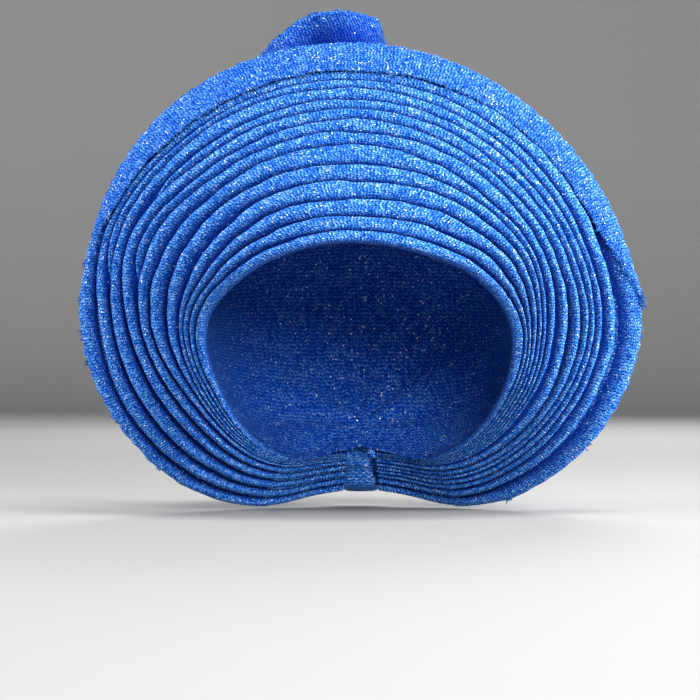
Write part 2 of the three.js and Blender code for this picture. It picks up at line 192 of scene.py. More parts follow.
# The pleats from the forehead out: the angle where each starts on the left, and the share of the fan
# that it shows at the places from ear to ear.
EAR = 150
EAR_TO_EAR = [row.angle for row in PLACES if abs(row.angle) <= EAR]
PLEATS = table(
    "node start show",
    ("fold_01", -FAN_END, (1, 4, 8.8, 9.5, 9.3, 10, 10.5, 9.4, 8.5, 4, 1)),
    ("fold_02", -FAN_END, (1, 4, 6.5, 11.1, 16.4, 13.6, 15.5, 13.3, 4.8, 4, 1)),
    ("fold_03", -FAN_END, (1, 4, 6, 10.1, 16.1, 17.1, 17.5, 12.7, 4.5, 3.8, 1)),
    ("fold_04", -FAN_END, (1, 4, 5, 12.3, 17.2, 17.9, 14.5, 10, 5.5, 3.8, 1)),
    ("fold_05", -FAN_END, (2, 4.5, 12.7, 19, 17, 16.4, 11.5, 7.3, 4.8, 3.8, 1)),
    ("fold_06", -FAN_END, (3, 7.5, 17.3, 16.5, 15.5, 20, 8.3, 5.3, 4.6, 3.8, 1)),
    ("fold_07", -FAN_END, (6, 12.3, 9.6, 16.5, 13.2, 12.7, 14.2, 9.4, 9.2, 4, 1)),
    ("fold_08", -84, (0, 0, 0.5, 8.5, 9.2, 13, 8.2, 10.6, 13.1, 15.5, 6)),
    ("fold_09", -FAN_END, (8, 13.5, 13.2, 12.5, 12.4, 10.7, 10.5, 9.4, 13.2, 8, 5)),
    ("fold_10", -63, (0, 0, 0, 1.4, 7.6, 9.3, 9.4, 6.6, 7.7, 5, 4.5)),
    ("fold_11", -FAN_END, (9, 17.8, 15, 8.9, 14.6, 11.4, 8.5, 8.7, 6, 8, 5)),
    ("fold_12", -84, (0, 0, 0.5, 7.6, 5, 8.6, 9.8, 6.7, 8, 8, 5.5)),
    ("fold_13", -FAN_END, (10, 16.9, 13.5, 7.5, 8.8, 9.3, 14.3, 14.6, 14.5, 14.5, 9)),
    ("rim_fold", -FAN_END, (10, 15, 17.8, 10, 23.7, 26.2, 21, 22.7, 25.8, 23.5, 11)),
)
LAST = len(PLEATS) - 1

# Clumps of loose threads on the rim.
TUFTS = table(
    "angle threads",
    (-126, 6), (-112, 8), (-99, 18), (-93, 16), (-86, 14),
    (-79, 8), (92, 8), (104, 6), (118, 7), (140, 16),
)
TUFT = Named(spread=0.5, scatter=(0.3, 0.9, 0.3), lengths=(0.4, 0.85))

# The loose end, a row for each place up its length: its middle, half width, side to side bow and
# where across it the bow is deepest.
TAIL_PLACES = table(
    "x y z half bow deepest",
    (0, 93, -125, 12, 13, 0),  # out of the knot
    (0, 102, -100, 17, 7.5, 0),  # below the bulge
    (-1, 106, -70, 21, 6.5, 0),  # back of the head
    (-3, 99, -38, 24, 7, 0),  # above the bulge
    (-6, 77, -10, 26, 8, 0),  # crown, back
    (-9, 40, 8, 28, 8, 0),  # crown, top
    (-13, 5, 16, 29, 6, 0.1),  # turning up
    (-17, -12, 34, 30, 6, 0.25),  # behind the fan
    (-19, -14, 50, 31, 6, 0.3),  # at the rim
)
# What comes in or goes out does so between two places of the table.
# The loose end is painted darker as shade in its folds' creases, over its front above the rim, and in the
# hollow there.
TAIL = Named(
    wall=1.4, start=-0.4, lean=13, room=1.2, fold=1.5, fold_waves=((4.6, 0.25, 0.5), (9.4, -0.2, 0.2)),
    narrow_share=0.45, ripple=1.3, ripple_across=5.2, ripple_along=0.35, uneven=2, uneven_run=31, edge_run=31,
    step=0.05, normal_step=0.02, rows=190, columns=64, threads=70, lengths=(0.3, 0.65), flat=(0.058, 0.33),
    area=0.0165, crease_dark=0.36, front_dark=0.26, hollow_dark=0.3, hollow_at=0.25, hollow_half=0.7,
    fold_in=(-0.3, 0.4), fold_out=(2.5, 6.5), uneven_in=(0.5, 2), uneven_out=(6.5, 7.5), turn_out=(0.2, 1.4),
    ripple_in=(0.5, 3), front=(7, 8), hollow_in=(7.2, 8), hollow_out=(8.35, 9.05),
)
# The loose end's raw edge above the rim, from its left corner to its right one.
TAIL_EDGE = table(
    "across height",
    (-1, 57), (-0.73, 65), (-0.35, 73), (0.12, 77.4), (0.35, 78), (0.74, 76), (0.9, 72.5), (1, 62),
)

# How far the cloth wavers, as rows of wavelength and amount.
CREASE_WAVER = [(47, 0.5), (23, 0.35), (11, 0.2)]
RIDGE_WAVER = [(31, 0.2), (13, 0.16), (6, 0.1)]
RAW_EDGE_WAVER = [(53, 0.5), (17, 0.3), (6.1, 0.28), (2.9, 0.22)]
SURFACE_WAVER = [(37, 0.3), (15, 0.2)]
EDGE_BUMPS = [(9.7, 0.2), (5.3, 0.26), (3.1, 0.22)]
# Two waves make up each row: how much longer each is, and its start by seed and by row.
WAVES = [(1, 2.39, 1.7), (1.618, 4.1, 0.9)]
WAVE_SHARE = 0.6

# The loose threads' thickness, and how they stray, curl and thin.
THREAD = Named(
    radius=0.42, steps=5, sides=4, stray=0.45, curl=0.7, rooted=0.25, thins=0.4, across=(0.3, 0.5, 0.8),
    weave_at=7000,
)

# The seeds of what wavers, of what is drawn, with loose threads one up, and of each piece's weave.
SEEDS = Named(
    ridge=20, back=31, cuff_edge=41, cuff_tip=43, tail_edge=51, tail_side=53, rim=61,
    cuff=71, tail=81, tufts=91,
)
WEAVES = Named(apart=1000, fan_back=15, cuff=16, gathers=17, knot=19, tail=20)

# The camera, at the height of the face opening, and the floor just under the nape.
CAMERA_AT = (-5.8, -1220, -84)
LENS = 128.57
SENSOR = 36
FLOOR_Z = cad_box[0].z / MM - 2
FLOOR = Named(rings=(0.1, 300, 900, 1600), flat=2200, curve=1400, wall=2600, reach=3.6)
FLOOR_GREYS = [(0.2, (0.23, 0.23, 0.227)), (0.9, (0.55, 0.55, 0.545))]
LAMPS = table(
    "name at size watts",
    ("left", (-1150, -170, 120), 420, 18),
    ("right", (1150, -170, 120), 420, 39),
    ("above", (180, -560, 1160), 420, 27.5),
    ("front", (420, -1400, 450), 500, 26),
    ("back", (300, 1250, 800), 800, 20),
)
LAMPS_AIM = (0, 10, -50)
SKY = Named(colour=(0.92, 0.95, 1.0, 1.0), strength=0.05)

# The weave's sizes, the dark blue painted in as shade, its blues from dark to light, and the colours of its
# partly painted glints.
RIB = 1.58
BEAD = 1.1
CHEVRON = 1.9
TWILL = 2.2
FLECK = 0.6
GLITTER = 0.95
PAINTED_SHADE_BLUE = (0.0, 0.012, 0.22, 1.0)
BLUES = [
    (0.08, (0.0003, 0.01, 0.15)),
    (0.36, (0.0025, 0.045, 0.31)),
    (0.58, (0.014, 0.108, 0.435)),
    (0.8, (0.063, 0.219, 0.55)),
    (1, (0.22, 0.4, 0.66)),
]
GLINTS = [
    (0, (0.7, 0.86, 1)),
    (0.45, (1, 1, 1)),
    (0.75, (1, 0.95, 0.84)),
    (0.9, (1, 0.88, 0.9)),
]
# How much each part of the weave lightens and darkens it, and how often and how strongly its partly painted
# glints show.
TONE = Named(middle=0.56, rib=0.15, bead=0.09, twill=0.07, stitch=0.3, fleck=0.5, mottle=0.1)
DRIFT = Named(scale=0.07, amount=1.6, slant=0.3, twill_beads=1.7, mottle_scale=0.1)
# The painted shade: the light level below which the colour darkens, and its least share of the lit colour.
PAINTED_SHADE = Named(open_from=0.46, least=0.1)
GLINT = Named(open=0.05, mottle=0.05, over=1.025, size=0.29, colour=0.8, metal=0.35, polish=0.38)
SURFACE = Named(
    rough=0.6, stitch_rough=0.14, thread_height=1.8, fleck_height=0.4, bump=0.8, bump_distance=0.0006,
)
UNIFORM = {
    "Specular IOR Level": 0.11,
    "Specular Tint": (0.12, 0.4, 1.0, 1.0),
    "Sheen Weight": 0.06,
    "Sheen Roughness": 0.45,
    "Sheen Tint": (0.15, 0.45, 1.0, 1.0),
}


# Curves and waves

def smooth(at, rows):
    """A smooth line through rows of numbers, one row at each value of at, read at any value."""
    at = np.asarray(at, float)
    rows = np.asarray(rows, float)
    secant = np.diff(rows, axis=0) / np.diff(at)[:, None]
    slope = np.vstack([secant[:1], (secant[:-1] + secant[1:]) / 2, secant[-1:]])

    def read(value):
        value = np.clip(np.asarray(value, float), at[0], at[-1])
        k = np.clip(np.searchsorted(at, value, side="right") - 1, 0, len(at) - 2)
        run = (at[k + 1] - at[k])[..., None]
        p = (value - at[k])[..., None] / run
        start = (2 * p**3 - 3 * p**2 + 1) * rows[k] + (p**3 - 2 * p**2 + p) * run * slope[k]
        end = (3 * p**2 - 2 * p**3) * rows[k + 1] + (p**3 - p**2) * run * slope[k + 1]
        return start + end

    return read


def line_through(rows):
    """A smooth line through the rows of a table, read at any value of its first column."""
    return smooth([row[0] for row in rows], [row[1:] for row in rows])


def ease(value, low, high):
    """From 0 at low to 1 at high, with soft ends."""
    share = np.clip((value - low) / (high - low), 0, 1)
    return share * share * (3 - 2 * share)


def mix(a, b, share):
    return a + (b - a) * share


def waver(along, seed, rows):
    """A line that wavers, the same in every run."""
    total = np.zeros_like(np.asarray(along, float))
    for k, (wave, amount) in enumerate(rows):
        turns = [2 * np.pi * along / (longer * wave) + a * seed + b * k for longer, a, b in WAVES]
        total = total + amount * WAVE_SHARE * sum(np.sin(turn) for turn in turns)
    return total


def ridges(u, v, waves):
    """Round ridges with sharp creases between them, for rows of a rate along u, one along v and a start."""
    return [np.abs(np.sin(a * u + b * v + start)) for a, b, start in waves]


# Meshes

def stack(*values):
    """Values spread over one shape, as the last axis of one array."""
    return np.stack(np.broadcast_arrays(*values), -1)


def skin(rows, columns):
    """The faces between rings of points, and the two that close the ends."""
    low, c = np.meshgrid(np.arange(rows - 1) * columns, np.arange(columns), indexing="ij")
    high, nxt = low + columns, (c + 1) % columns
    quads = stack(low + c, low + nxt, high + nxt, high + c).reshape(-1, 4)
    ring = np.arange(columns)
    return quads, np.stack([ring[::-1], ring + (rows - 1) * columns])


def link(name, data):
    thing = bpy.data.objects.new(name, data)
    scene.collection.objects.link(thing)
    return thing


def link_mesh(name, points, faces, material):
    """A smooth mesh in the scene, from points in metres."""
    mesh = bpy.data.meshes.new(name)
    mesh.from_pydata(points.tolist(), [], faces)
    mesh.polygons.foreach_set("use_smooth", np.ones(len(mesh.polygons), bool))
    mesh.materials.append(material)
    return link(name, mesh)


def cloth_piece(name, points, faces, weave):
    """A mesh of the cloth that rides on the body."""
    piece = link_mesh(name, points, faces, cloth)
    layer = piece.data.attributes.new("weave", "FLOAT_VECTOR", "POINT")
    layer.data.foreach_set("vector", weave.reshape(-1, 3).astype(np.float32).ravel())
    piece.data.update()
    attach(piece, BODY)
    return piece


def distance(points, axis):
    """How far it is to points along one axis of their grid."""
    steps = np.cumsum(norm(np.diff(points, axis=axis), axis=2), axis=axis)
    return np.insert(steps, 0, 0, axis=axis)


def weave_over(rings, seed, light=PAINTED_LIGHT.plain, rounded=False):
    """Millimetres along the rings' middle, or along each line of a rounded piece, across them, and painted
    light.
    """
    lines = rings if rounded else rings.mean(axis=1, keepdims=True)
    return stack(distance(lines, 0) + WEAVES.apart * seed, distance(rings, 1), light)


def stand_for(node, rings, weave):
    """A closed skin over rings of points, facing out, that stands for a node."""
    points = rings.reshape(-1, 3) * MM
    quads, ends = skin(*rings.shape[:2])
    a, b, c, d = (points[quads[:, k]] for k in range(4))
    if np.sum(a * (np.cross(b, c) + np.cross(c, d))) < 0:
        quads, ends = quads[:, ::-1], ends[:, ::-1]
    piece = cloth_piece(node + "_cloth", points, quads.tolist() + ends.tolist(), weave)
    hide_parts(node)
    return piece


def dress(node, rings, seed, light=PAINTED_LIGHT.plain, threads=(), rounded=False, woven_on=None):
    """Makes a node's cloth, woven on its rings or on those before they were pushed."""
    weave = weave_over(rings if woven_on is None else woven_on, seed, light, rounded)
    piece = stand_for(node, rings, weave)


# The fan

edge_line = line_through(PLACES)
show_line = smooth(EAR_TO_EAR, np.array([pleat.show for pleat in PLEATS]).T)


def fan_at(angle):
    """The fan's measures at angles round the face, as columns or with a column for each pleat."""
    angle = np.asarray(angle, float)
    turn = np.radians(angle)
    hem_r, hem_y, rim_r, rim_y = edge_line(angle).T
    show = np.maximum(show_line(np.clip(angle, EAR_TO_EAR[0], EAR_TO_EAR[-1])), 0)
    width = show * ((rim_r - hem_r) / show.sum(axis=1))[:, None]
    crease = np.hstack([hem_r[:, None], hem_r[:, None] + np.cumsum(width, axis=1)])
    for i in range(1, LAST + 1):
        room = np.minimum(width[:, i - 1], width[:, i])
        free = np.minimum(room / PLEAT.crease_room, PLEAT.crease_share)
        crease[:, i] += waver(turn * crease[:, i], i, CREASE_WAVER) * free
    width = np.diff(crease, axis=1)
    side = ease(np.where(angle > 0, RIGHT_FLATTER * angle, -angle), *TOP_TO_SIDE)
    share = mix(*THICKNESS_OF_WIDTH, side)[:, None]
    thick = np.minimum(mix(*THICKEST, side)[:, None], share * width)
    ledge = thick.copy()
    for i in range(1, LAST + 1):
        ledge[:, i] = np.maximum(thick[:, i], ledge[:, i - 1] - width[:, i])
    drop = np.hstack([np.full((len(angle), 1), HEM.roll), ledge[:, :-1] + GAP])
    single = dict(angle=angle, turn=turn, hem_r=hem_r, hem_y=hem_y, rim_r=rim_r, rim_y=rim_y, side=side)
    columns = {name: values[:, None] for name, values in single.items()}
    return Named(width=width, crease=crease, thick=thick, drop=drop, **columns)


def place(angle, r, y):
    """Points of the radial planes at angles round the face."""
    a = np.radians(angle)
    return stack(r * np.sin(a), y, CENTRE[2] + r * np.cos(a))


def front_of(fan, r):
    """The depth and the slope of the fan's front at distances from the axis."""
    reach = fan.rim_r - fan.hem_r
    rise = fan.rim_y - fan.hem_y
    s = (r - fan.hem_r) / reach
    y = fan.hem_y + rise * (LEAN_AT_HEM * s + (1 - LEAN_AT_HEM) * s * s)
    return y, rise / reach * (LEAN_AT_HEM + 2 * (1 - LEAN_AT_HEM) * s)


def on_fan(fan, r, h):
    """Points of the fan: r from the axis along its front, h in front of it."""
    y, slope = front_of(fan, r)
    n = np.hypot(1, slope)
    return place(fan.angle, r + h * slope / n, y - h / n)


def angles_between(start, end, radius):
    count = int(math.radians(end - start) * radius / ROW_LENGTH)
    return np.linspace(start, end, count)


def pleat_measures(fan, i):
    """A pleat's width, lip and groove, and how it is tucked under the one before it."""
    measures = (fan.crease, fan.width, fan.thick, fan.drop)
    inner, width, thick, drop = (values[:, [i]] for values in measures)
    if i == LAST:
        reach = RIM_REACH + waver(fan.turn * fan.rim_r, SEEDS.rim, EDGE_BUMPS)
        width = width + reach * (1 - ease(np.abs(fan.angle), FAN_CLOSES, FAN_END))
    lip = np.minimum(PLEAT.lip_of_thickness * thick, PLEAT.lip_of_width * width)
    hem = np.minimum(HEM.wall, HEM.wall_of_width * fan.width[:, :1])
    under = groove = np.zeros_like(inner)
    sink = np.full_like(inner, HEM.back)
    if i:
        before = fan.width[:, i - 1:i]
        room = before - hem - PLEAT.tuck_room if i == 1 else PLEAT.tuck * before
        under = np.maximum(np.minimum(room, PLEAT.tuck * before), PLEAT.least_tuck)
        groove = mix(*GROOVE, fan.side) * width
        sink = PLEAT.sink_of_drop * fan.drop[:, i - 1:i] + PLEAT.slack
    deep = np.maximum(-drop - sink, PLEAT.spare - DEEPEST_TUCK)
    return Named(
        inner=inner, width=width, thick=thick, drop=drop, lip=lip, flat=width - lip, hem=hem, under=under,
        groove=groove, sink=sink, deep=deep, low=deep if i else -drop,
    )


def pleat_section(fan, i, p):
    """Distance from the axis, height and painted light of points round a pleat, from its shaded groove over
    its lip.
    """
    full = np.minimum(p.width / PLEAT.ridge_room, 1)
    ridge = waver(fan.turn * p.inner, SEEDS.ridge + i, RIDGE_WAVER) * full
    power = mix(*ROLL, fan.side)
    quick = mix(PAINTED_LIGHT.quick, 1.0, fan.side)
    bend = PLEAT.tuck_bend

    def across(x):
        return p.inner + mix(p.groove, p.flat, x)

    def roll(x):
        return p.low * (1 - (1 - (1 - x) ** power) ** (1 / power))

    points = [(p.inner - p.under, p.deep, 0.0), (p.inner - bend * p.under, mix(p.low, p.deep, bend), 0.0)]
    if i:
        points += [(p.inner + x * p.groove, p.deep, 0.0) for x in GROOVE_SHARES]
    points += [(across(x), roll(x) + ridge * x, PAINTED_LIGHT.groove + PAINTED_LIGHT.rise * x**quick) for x in RISE_SHARES]
    for turn in LIP_TURNS:
        lip_r = p.inner + p.flat + p.lip * np.cos(turn)
        lip_h = p.thick * (np.sin(turn) - 1) / 2 + ridge
        points.append((lip_r, lip_h, PAINTED_LIGHT.lip - PAINTED_LIGHT.lip_spread * math.sin(turn)))
    if i:
        points += [(across(x), np.maximum(roll(x) - p.thick, -DEEPEST_TUCK), 1.0) for x in UNDER_SHARES]
        points.append((p.inner - p.under, np.maximum(p.deep - np.minimum(p.thick, WALL), -DEEPEST_TUCK), 0.0))
    else:
        for x in UNDER_SHARES:
            points.append((p.inner + mix(p.hem, p.flat, x), mix(-p.drop - HEM.inside, -p.thick, x), 1.0))
        points.append((p.inner + p.hem, -p.drop - p.sink, 1.0))
    return points


def pleat_rings(fan, i):
    """A pleat's rings and their painted light, darker as shade where an early end comes out and at the hem's
    inner edge.
    """
    p = pleat_measures(fan, i)
    points = pleat_section(fan, i, p)
    r, h, light = np.moveaxis(np.hstack([stack(*point) for point in points]), -1, 0)
    start = PLEATS[i].start
    if start > -FAN_END:
        out = mix(END.height, 1, ease(fan.angle, start, start + END.run))
        h = np.where(h > p.low, mix(p.low, h, out), h)
        light = light * mix(END.light, 1, out)
    if i == 0:
        light = mix(PAINTED_LIGHT.hem, 1, light)
    return on_fan(fan, r, h), light


def dress_pleats():
    for i, pleat in enumerate(PLEATS):
        fan = fan_at(angles_between(pleat.start, FAN_END, mix(*PLEAT.radii, i / LAST)))
        rings, light = pleat_rings(fan, i)
        threads = [rim_tufts(fan, rings)] if i == LAST else []
        dress(pleat.node, rings, i, light, threads)


def rim_tufts(fan, rings):
    """Clumps of loose threads on the rim's outer edge."""
    draw = np.random.default_rng(SEEDS.tufts)
    middle = np.repeat(*zip(*TUFTS))
    angle = middle + draw.normal(size=len(middle)) * TUFT.spread
    at = np.searchsorted(fan.angle[:, 0], angle)
    column = np.argmax(np.hypot(rings[at, :, 0], rings[at, :, 2] - CENTRE[2]), axis=1)
    roots = rings[at, column] + draw.normal(size=(len(at), 3)) * TUFT.scatter
    ways = place(angle, 1.0, 0.0) - CENTRE * [0, 0, 1]
    lengths = draw.uniform(*TUFT.lengths, len(at))
    return fray("rim_fold_threads", roots, ways, lengths, SEEDS.tufts + 1)


# The bonnet

def head_reach(angle, tilt):
    """How far the head's surface is from its centre, at angles and tilts to the back."""
    a, t = np.radians(angle), np.radians(tilt)
    high = np.where(np.cos(a) > 0, HEAD.up, HEAD.down)
    deep = np.where(t > 0, HEAD.back, HEAD.front)
    parts = [np.sin(a) * np.cos(t) / HEAD.side, np.sin(t) / deep, np.cos(a) * np.cos(t) / high]
    total = sum(np.abs(part) ** HEAD.squareness for part in parts)
    return total ** (-1 / HEAD.squareness)


def on_head(angle, tilt, reach):
    t = np.radians(tilt)
    return place(angle, reach * np.cos(t), CENTRE[1] + reach * np.sin(t))


def from_knot(p):
    """How far points lie from the knot, and their turn about a point just above it."""
    turn = np.arctan2(p[..., 0], p[..., 2] - KNOT.z - CROWN.above_knot)
    return np.hypot(p[..., 0], p[..., 2] - KNOT.z), turn


def crown_reach(angle, tilt):
    """The bonnet's surface: the head, with gathers that run out from the knot."""
    reach = head_reach(angle, tilt)
    p = on_head(angle, tilt, reach)
    far, turn = from_knot(p)
    fade = ease(p[..., 1], *CROWN.fade_back) * ease(far, *CROWN.fade_far)
    return reach + fade * CROWN.depth * np.cos(turn * CROWN.gathers)


def gather_wave(p):
    """The fine gathers that run out from the knot: 1 along a ridge, less in a crease."""
    far, turn = from_knot(p)
    turn = np.degrees(turn)
    near = ease(p[..., 1], *FINE.fade_back) * ease(far, *FINE.fade_near)
    fade = near * (1 - FINE.far_share * ease(far, *FINE.fade_far))
    broad, narrow = ridges(turn, far, FINE.waves)
    return 1 - fade * (FINE.full - broad - FINE.narrow_share * narrow)


def fine_gathers(angle, tilt, share):
    """How far the fine gathers sink into the bonnet, in millimetres, from none at its edge."""
    sunk = FINE.amount * (1 - gather_wave(on_head(angle, tilt, head_reach(angle, tilt))))
    held = FINE.deepest * (np.exp(-sunk / FINE.deepest) - 1)
    return held * ease(share, *FINE.from_edge)


def from_centre(p):
    """The way to points from the head's centre, their distance from the axis, and their tilt."""
    away = p - CENTRE
    out = np.hypot(away[..., 0], away[..., 2])
    return away, out, np.degrees(np.arctan2(away[..., 1], out))


def clear_of_crown(p, room):
    """Moves points out from the bonnet where they would lie inside it."""
    away, _, tilt = from_centre(p)
    angle = np.degrees(np.arctan2(away[..., 0], away[..., 2]))
    far = norm(away, axis=-1)
    least = crown_reach(angle, tilt) + WALL + room
    return CENTRE + away * np.maximum(least / np.maximum(far, TINY), 1)[..., None]


def crown_set_back(fan):
    """How far the bonnet's edge lies behind the fan's front."""
    return mix(*CROWN.set_back, ease(np.abs(fan.angle), *CROWN.nape))


def crown_edge(angle):
    """The tilt at which the bonnet's edge is far enough behind the pleats."""
    fan = fan_at(angle)
    first_tilt = np.degrees(np.arctan2(fan.hem_y - CENTRE[1], fan.hem_r))
    tilt = first_tilt + np.linspace(0, CROWN.tilt_reach, CROWN.tilt_steps)
    reach = crown_reach(fan.angle, tilt) + WALL
    t = np.radians(tilt)
    y, slope = front_of(fan, reach * np.cos(t))
    depth = (CENTRE[1] + reach * np.sin(t) - y) / np.hypot(1, slope)
    first = np.argmax((depth > crown_set_back(fan)) | (tilt > CROWN.steepest), axis=1)
    return tilt[np.arange(len(tilt)), first]


def dress_crown():
    angle = np.linspace(-180, 180, CROWN.columns, endpoint=False)[None, :]
    shares = np.linspace(0, CROWN.closed, CROWN.rows)[:, None]
    tilt = mix(crown_edge(angle[0])[None, :], 90, shares)
    reach = crown_reach(angle, tilt)
    inside = on_head(angle, tilt, reach)
    outside = on_head(angle, tilt, reach + WALL + fine_gathers(angle, tilt, shares))
    rings = np.vstack([inside[::-1], outside])
    piece = stand_for("crown_wrap", rings, crown_weave(rings))


def crown_weave(rings):
    """The bonnet's weave is spread evenly from the back; its inside and its gathers' creases are painted
    darker as shade.
    """
    away, out, _ = from_centre(rings)
    out = np.maximum(out, TINY)
    spread = np.arctan2(out, away[..., 1]) * HEAD.up / out
    along = away[..., 2] * spread + CROWN.weave_at[0]
    across = away[..., 0] * spread + CROWN.weave_at[1]
    inside = np.arange(len(rings))[:, None] < len(rings) / 2
    # Painted shade: darker on the inside, and darker in the creases of the fine gathers.
    light = np.where(inside, PAINTED_LIGHT.wrong_side, mix(*PAINTED_LIGHT.gathers, gather_wave(rings)))
    return stack(along, across, light)


# The cloth behind the pleats

def back_line(fan, seat):
    """The saw-toothed back of the pleats from a seat to the rim: r, its depth, middle depth, painted light.
    """
    steps = np.array(BACK.steps)
    r = [fan.crease[:, [i]] + steps * fan.width[:, [i]] for i in range(LAST + 1)]
    spread = (np.hstack(r) - fan.hem_r) / (fan.rim_r - fan.hem_r)
    full = np.repeat(np.minimum(fan.width / BACK.full_width, 1), len(steps), axis=1)
    bulge = np.tile(steps, LAST + 1) ** BACK.bulge_power * full
    rim = fan.rim_r - BACK.from_rim
    r = mix(seat, rim, spread)
    start = fan.crease[:, [LAST]] + BACK.turns_up
    turn_up = np.clip((r - start) / (rim - start), 0, 1)
    deep = mix(-STACK_DEPTH, -RIM_DEPTH, turn_up)
    soft = waver(fan.turn * r, SEEDS.back, SURFACE_WAVER)
    out = BACK.bulge * bulge * (1 - BACK.flatter_at_rim * turn_up)
    back = deep - WALL / 2 - out - BACK.soft * soft * (1 - turn_up)
    return r, back, deep, np.tile(BACK.light, LAST + 1)[None, :]


def dress_fan_back():
    fan = fan_at(angles_between(-FAN_END, FAN_END, BACK.radius))
    r, back, deep, light = back_line(fan, crown_meeting(fan))
    front = on_fan(fan, r, deep + WALL / 2)[:, ::-len(BACK.steps)]
    rings = np.hstack([on_fan(fan, r, back), front])
    lights = np.hstack([light, np.full((1, front.shape[1]), PAINTED_LIGHT.plain)])
    dress("fan_back", rings, WEAVES.fan_back, lights)


def crown_meeting(fan):
    """How far from the axis the cloth behind the pleats meets the bonnet."""
    r = mix(fan.rim_r, fan.hem_r, np.linspace(0, 1, BACK.search_steps)[None, :]) - BACK.past_edge
    away, _, tilt = from_centre(on_fan(fan, r, np.full_like(r, -STACK_DEPTH)))
    clear = norm(away, axis=-1) - crown_reach(fan.angle, tilt) - WALL
    meets = clear < WALL / 2 + BACK.touch
    first = np.where(meets.any(axis=1), np.argmax(meets, axis=1), r.shape[1] - 1)
    return r[np.arange(len(r)), first][:, None]


# The cuff over the rim

def wall_rings(fan, r, h, thickness):
    """A wall round lines of (r, h) points, as rings on the fan."""
    dr, dh = np.gradient(r, axis=1), np.gradient(h, axis=1)
    n = np.hypot(dr, dh)
    half = thickness / 2
    one = on_fan(fan, r - half * dh / n, h + half * dr / n)
    other = on_fan(fan, r + half * dh / n, h - half * dr / n)
    return np.hstack([one, other[:, ::-1]])


def cuff_bends(fan, left, right):
    """The bends of the cuff's section, from raw edge to return, opened out where left and right are 1."""
    opened = np.minimum(left, right)
    crease = fan.crease[:, [LAST]]
    corner = CUFF.corner * ease(fan.angle, *CUFF.corner_at)
    tip = fan.rim_r + mix(*CUFF.over_rim, np.minimum(3 * left, 1)) + corner
    tip = tip + waver(fan.turn * tip, SEEDS.cuff_tip, EDGE_BUMPS)
    ragged = waver(fan.turn * tip, SEEDS.cuff_edge, RAW_EDGE_WAVER)
    to_right = ease(fan.angle, *CUFF.right_at)
    open_edge = np.minimum(crease - mix(*CUFF.laps, to_right), tip - CUFF.least_width)
    edge = mix(tip - CUFF.closed_width, open_edge, opened) + CUFF.ragged * ragged * opened
    lift = mix(*CUFF.lift, np.minimum(2 * left, 1)) * mix(CUFF.right_lift, 1, right)
    after_start = ease(fan.angle, CUFF.start, CUFF.start + CUFF.narrow_run)
    wide = after_start * (1 - ease(fan.angle, CUFF.end - CUFF.narrow_run, CUFF.end))
    high_r, high_h = tip - BACK.from_rim, -RIM_DEPTH
    low_r = mix(high_r - CUFF.closed_in, crease + BACK.turns_up, wide)
    low_h = mix(high_h - CUFF.closed_deep, -STACK_DEPTH, wide)
    run = np.hypot(high_r - low_r, high_h - low_h)
    away_r, away_h = (high_h - low_h) / run * CUFF.clear, -(high_r - low_r) / run * CUFF.clear
    shoulder = tip - CUFF.shoulder
    return [
        (edge, lift - CUFF.dip * to_right * opened),
        (mix(edge, shoulder, 0.5), lift + CUFF.crown),
        (shoulder, lift + CUFF.crown / 2),
        *[(tip + out, height) for out, height in CUFF.nose],
        (np.minimum(high_r + away_r, tip), high_h + away_h),
        (low_r + away_r, low_h + away_h),
        (low_r - mix(*CUFF.behind, wide), low_h - CUFF.clear - mix(CUFF.closed_drop, 0, wide)),
    ]


def cuff_line(fan):
    """The cuff's section as smooth lines of r and h, and its thickness, least at its raw edge."""
    left = ease(fan.angle, CUFF.start - CUFF.opens_past, CUFF.start + CUFF.open_left)
    right = 1 - ease(fan.angle, CUFF.end - CUFF.open_right, CUFF.end + CUFF.opens_past)
    bends = cuff_bends(fan, left, right)
    corners = np.stack([stack(r, h, left)[:, 0, :2] for r, h in bends])
    read = smooth(np.arange(len(bends)), corners.reshape(len(bends), -1))
    fine = read(np.linspace(0, len(bends) - 1, CUFF.columns)).reshape(CUFF.columns, -1, 2)
    thinned = mix(CUFF.edge_wall, 1, ease(np.arange(CUFF.columns), 0, CUFF.edge_columns))
    thickness = CUFF.wall * mix(CUFF.closed_wall, 1, np.minimum(left, right)) * thinned
    return fine[..., 0].T, fine[..., 1].T, thickness


def dress_cuff():
    fan = fan_at(angles_between(CUFF.start, CUFF.end, CUFF.radius))
    rings = wall_rings(fan, *cuff_line(fan))
    dress("rim_cuff", rings, WEAVES.cuff, PAINTED_LIGHT.cuff, [cuff_threads(rings)])


def cuff_threads(rings):
    """Loose threads along the cuff's raw edge, and a clump of them at its right corner."""
    draw = np.random.default_rng(SEEDS.cuff)
    size = CUFF_THREADS
    at = draw.integers(4, len(rings) - 1, size.edge)
    lengths = draw.uniform(*size.lengths, size.edge)
    corner = len(rings) - draw.integers(1, 8, size.corner)
    side = draw.integers(4, 14, size.corner)
    lengths = np.hstack([lengths, draw.uniform(*size.corner_lengths, size.corner)])
    roots = np.vstack([rings[at, 0], rings[corner, side]])
    edge_ways = rings[at, 0] - rings[at, 3] + size.forward
    ways = np.vstack([edge_ways, np.tile(size.corner_way, (size.corner, 1))])
    return fray("rim_cuff_threads", roots, ways, lengths, SEEDS.cuff + 1)


# The nape: the gathered ends and the knot

def knot_girth(level):
    rolled = 1 - KNOT.roll_depth + KNOT.roll_depth * np.cos(level * KNOT.rolls * np.pi)
    return np.sqrt(np.maximum(1 - level**4, 0)) * rolled


